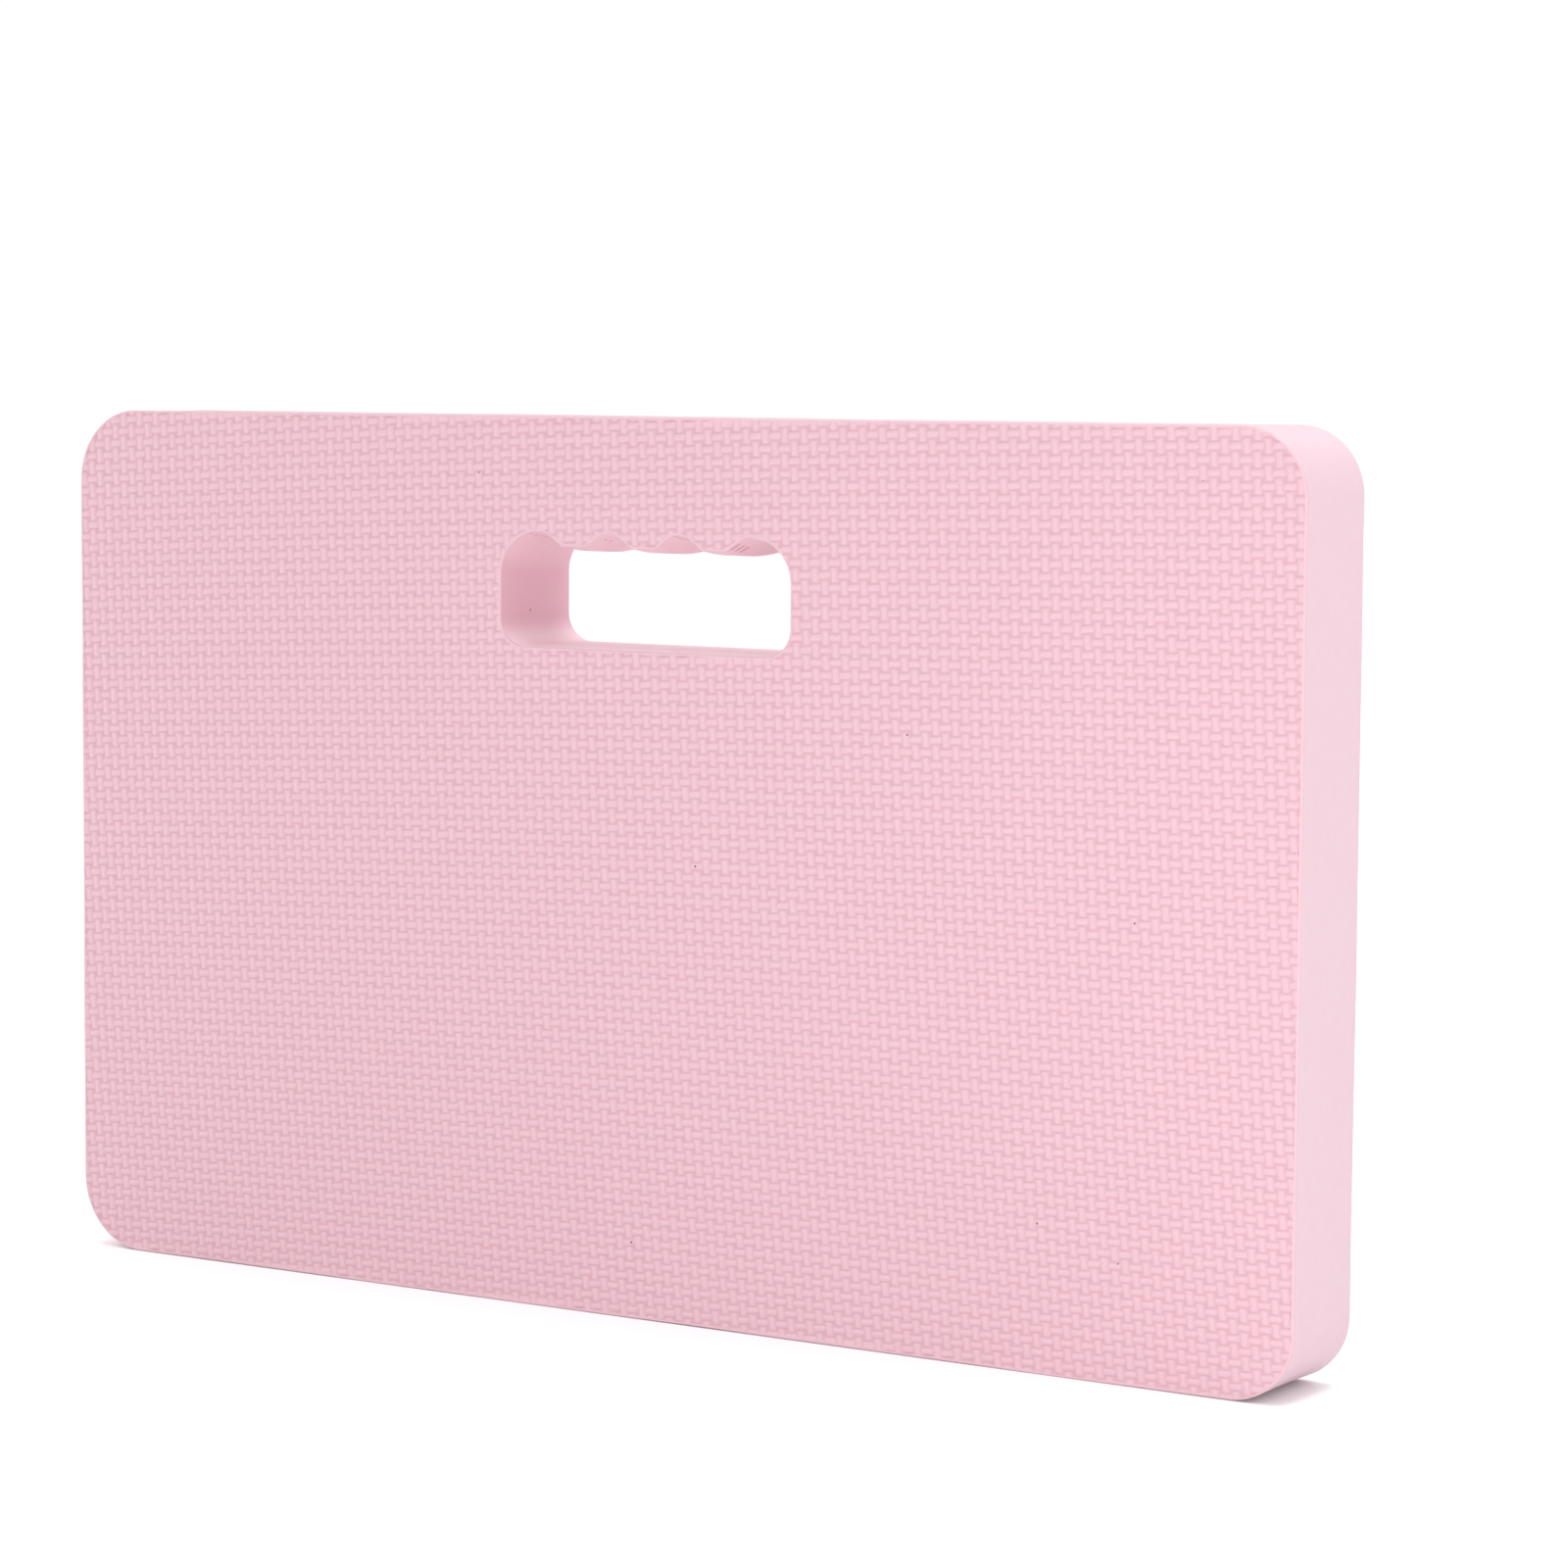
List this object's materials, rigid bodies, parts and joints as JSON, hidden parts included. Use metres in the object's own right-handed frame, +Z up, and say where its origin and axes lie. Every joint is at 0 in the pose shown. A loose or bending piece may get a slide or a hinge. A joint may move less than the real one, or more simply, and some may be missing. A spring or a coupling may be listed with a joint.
{
  "type": "foam exercise pad",
  "caption": "Rectangular closed-cell foam pad with rounded corners, embossed weave on both faces and a carrying slot with finger scallops.",
  "frame": {"origin": "centre of the footprint of the standing pad, on the surface it stands on", "axes": "+X along the length, +Y from the front face to the rear face through the thickness, +Z up, towards the edge beside the hand slot"},
  "size_m": [0.45, 0.038, 0.28],
  "materials": {
    "embossed_foam": "satin",
    "smooth_foam": "satin",
    "core_foam": "matte"
  },
  "bodies": {
    "root": {"front_face_skin": "embossed_foam", "rear_face_skin": "embossed_foam", "edge_skin": "smooth_foam", "hand_slot_skin": "smooth_foam", "foam_core": "core_foam"}
  },
  "joints": []
}
